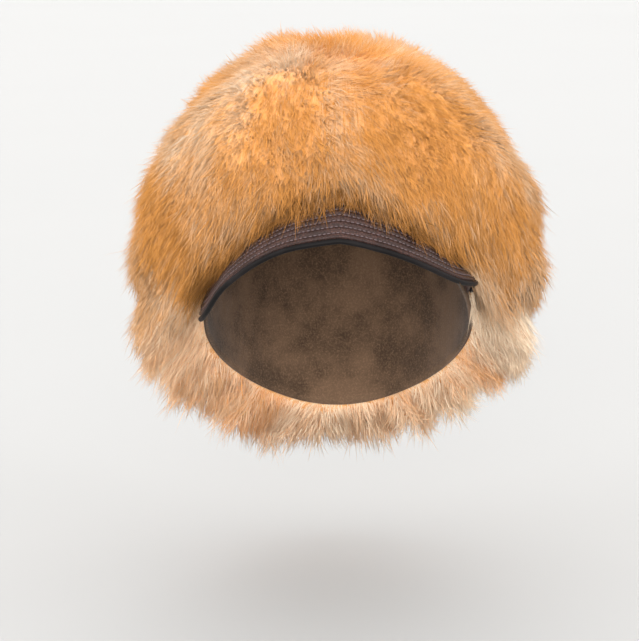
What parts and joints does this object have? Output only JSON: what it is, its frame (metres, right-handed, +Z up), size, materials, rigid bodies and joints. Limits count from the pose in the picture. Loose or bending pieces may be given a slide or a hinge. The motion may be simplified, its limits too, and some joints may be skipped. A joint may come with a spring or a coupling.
{
  "type": "sheepskin hat",
  "caption": "Round sheepskin hat with deep dyed fur, ear and nape flaps and a small stitched leather peak, shaped as worn.",
  "frame": {"origin": "the middle of the crown's inside, where the top of the head touches it", "axes": "+Z up out of the crown, the peak and face opening towards -Y, the wearer's right side towards -X"},
  "size_m": [0.2445, 0.2695, 0.2829],
  "materials": {
    "suede": "matt napped inner side of a sheepskin",
    "dyed_fur": "deep soft wool, orange at the tips and cream at the roots",
    "peak_leather": "glossy grained leather with rows of stitching",
    "piping_leather": "smooth rolled edge"
  },
  "bodies": {
    "root": {"crown_skin": "suede", "flap_skin": "suede", "crown_fur": "dyed_fur", "flap_fur": "dyed_fur", "peak": "peak_leather", "peak_piping": "piping_leather"}
  },
  "joints": []
}
